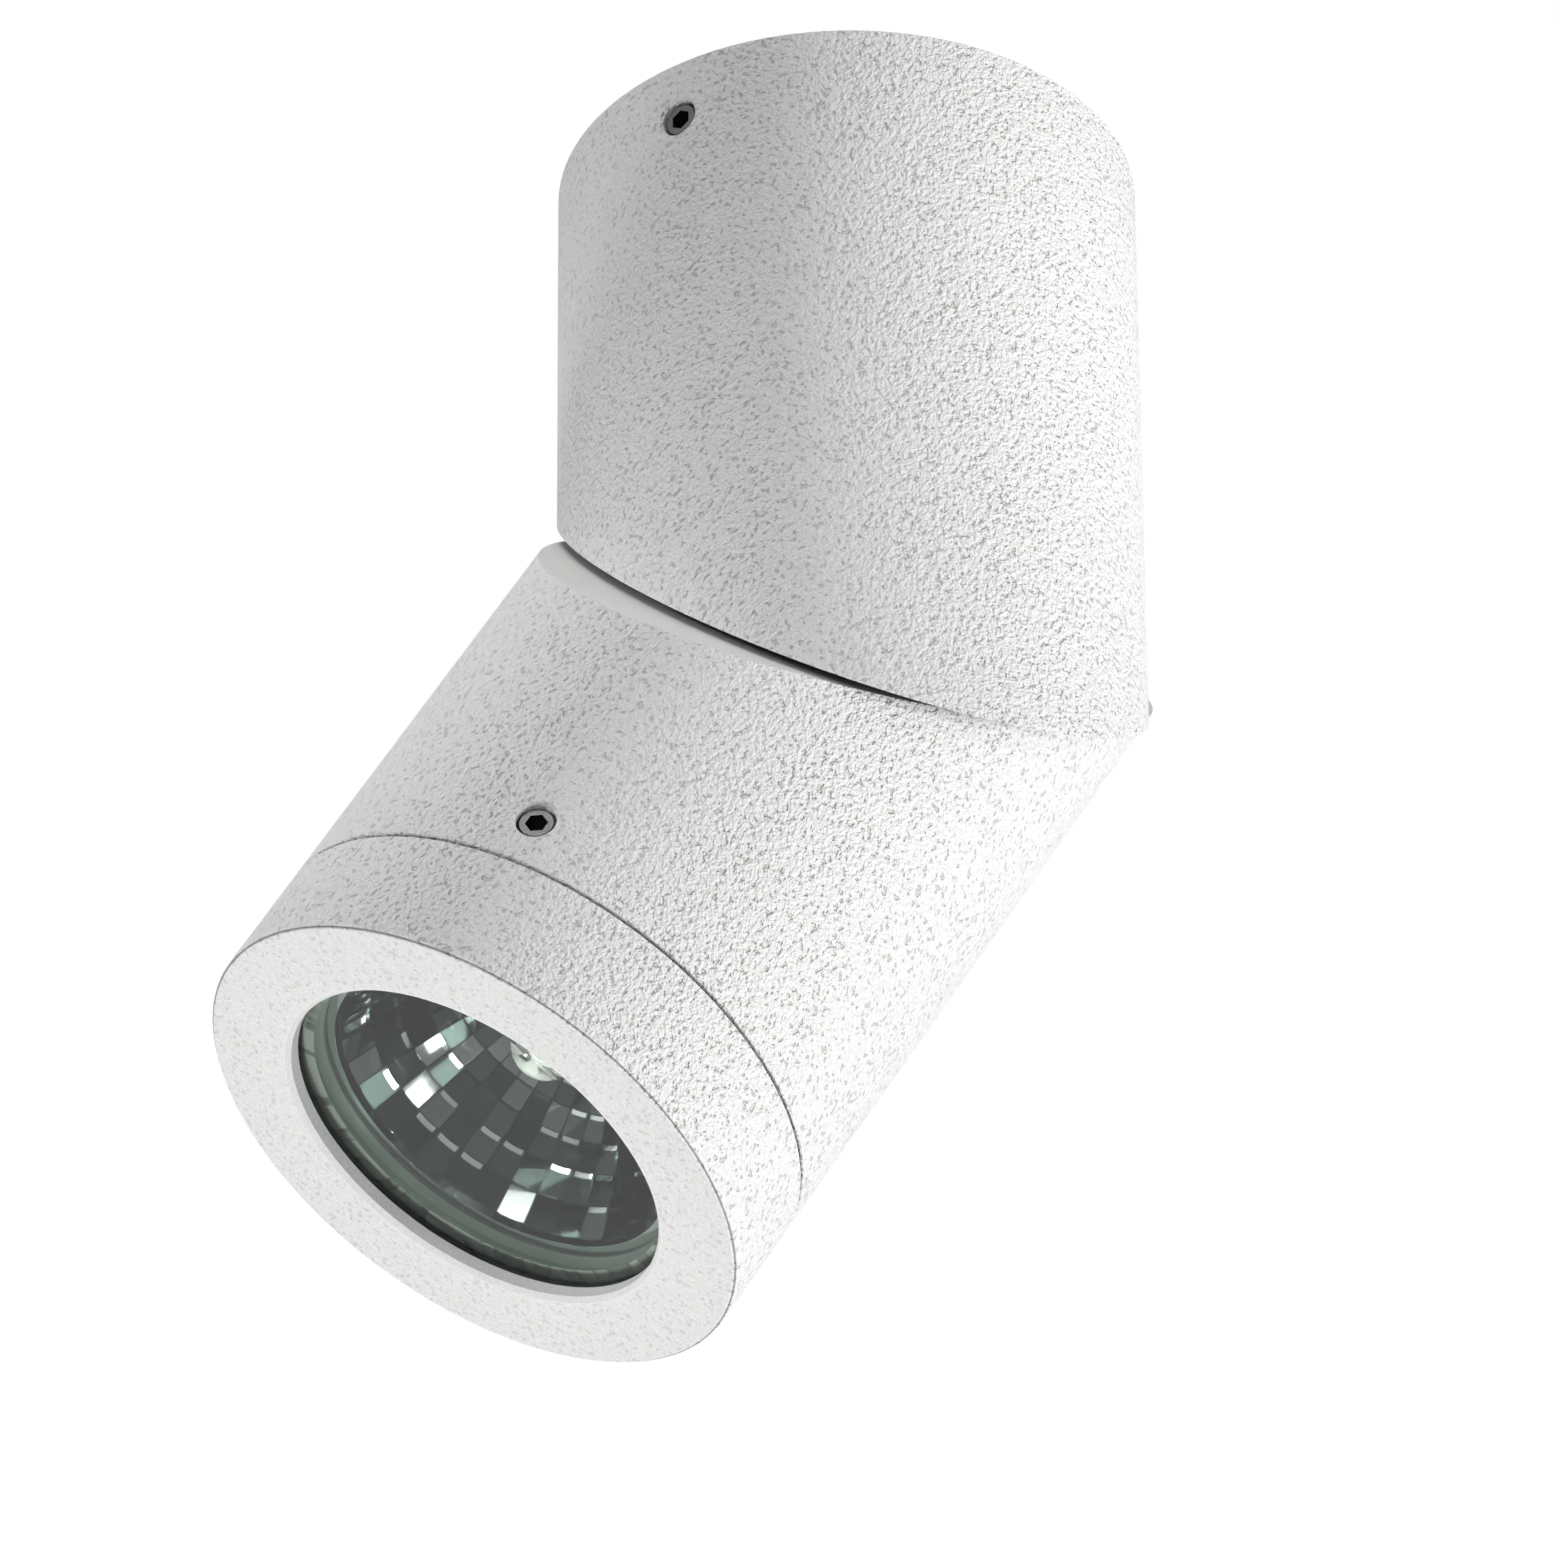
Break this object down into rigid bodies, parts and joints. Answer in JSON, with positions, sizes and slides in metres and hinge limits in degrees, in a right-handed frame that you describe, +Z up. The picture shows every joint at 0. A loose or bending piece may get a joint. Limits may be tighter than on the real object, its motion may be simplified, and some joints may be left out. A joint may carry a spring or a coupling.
{
  "type": "surface spotlight",
  "caption": "Round surface spotlight: a base tube and a head tube meet on a slanted cut, and the head swivels on it to aim the lamp behind a flat glass.",
  "frame": {"origin": "centre of the ceiling face, midway between the two fixing slots", "axes": "+Z up into the ceiling, +X towards the base tube's long side, +Y across"},
  "size_m": [0.0876, 0.1239, 0.1677],
  "materials": {
    "white_paint": "matte",
    "cast_aluminium": "satin",
    "turned_aluminium": "satin",
    "black_rubber": "matte",
    "terminal_plastic": "matte",
    "washer_plastic": "matte",
    "black_steel": "satin",
    "zinc_steel": "satin",
    "spring_steel": "satin",
    "brass": "satin",
    "lead_sheath": "matte",
    "holder_ceramic": "matte",
    "cap_ceramic": "matte",
    "clear_glass": "polished",
    "quartz": "polished",
    "faceted_mirror": "polished"
  },
  "bodies": {
    "base": {"ceiling_plate": "cast_aluminium", "cable_grommet": "black_rubber", "terminal_block": "terminal_plastic", "terminal_screws": "brass", "terminal_fixing_screw": "zinc_steel", "base_tube": "white_paint", "base_grub_screws": "black_steel", "swivel_bush": "brass", "swivel_stop_pin": "zinc_steel", "base_lead": "lead_sheath"},
    "head": {"head_tube": "white_paint", "front_ring": "white_paint", "glass_retainer": "turned_aluminium", "glass_gasket": "black_rubber", "swivel_seal": "black_rubber", "ring_seal": "black_rubber", "friction_washer": "washer_plastic", "ring_grub_screw": "black_steel", "bracket_screws": "zinc_steel", "holder_screws": "zinc_steel", "lampholder_bracket": "zinc_steel", "spindle_nut": "zinc_steel", "swivel_spindle": "zinc_steel", "swivel_spring": "spring_steel", "lamp_clip": "spring_steel", "lamp_pins": "brass", "head_lead": "lead_sheath", "lampholder": "holder_ceramic", "lamp_cap": "cap_ceramic", "front_glass": "clear_glass", "lamp_capsule": "quartz", "lamp_reflector": "faceted_mirror"}
  },
  "joints": [
    {"name": "head_swivel", "type": "hinge", "parent": "base", "child": "head", "pos_m": [0, 0, -0.067], "axis": [0.7071, 0, 0.7071], "range_deg": [-121.5, 208.5]}
  ]
}
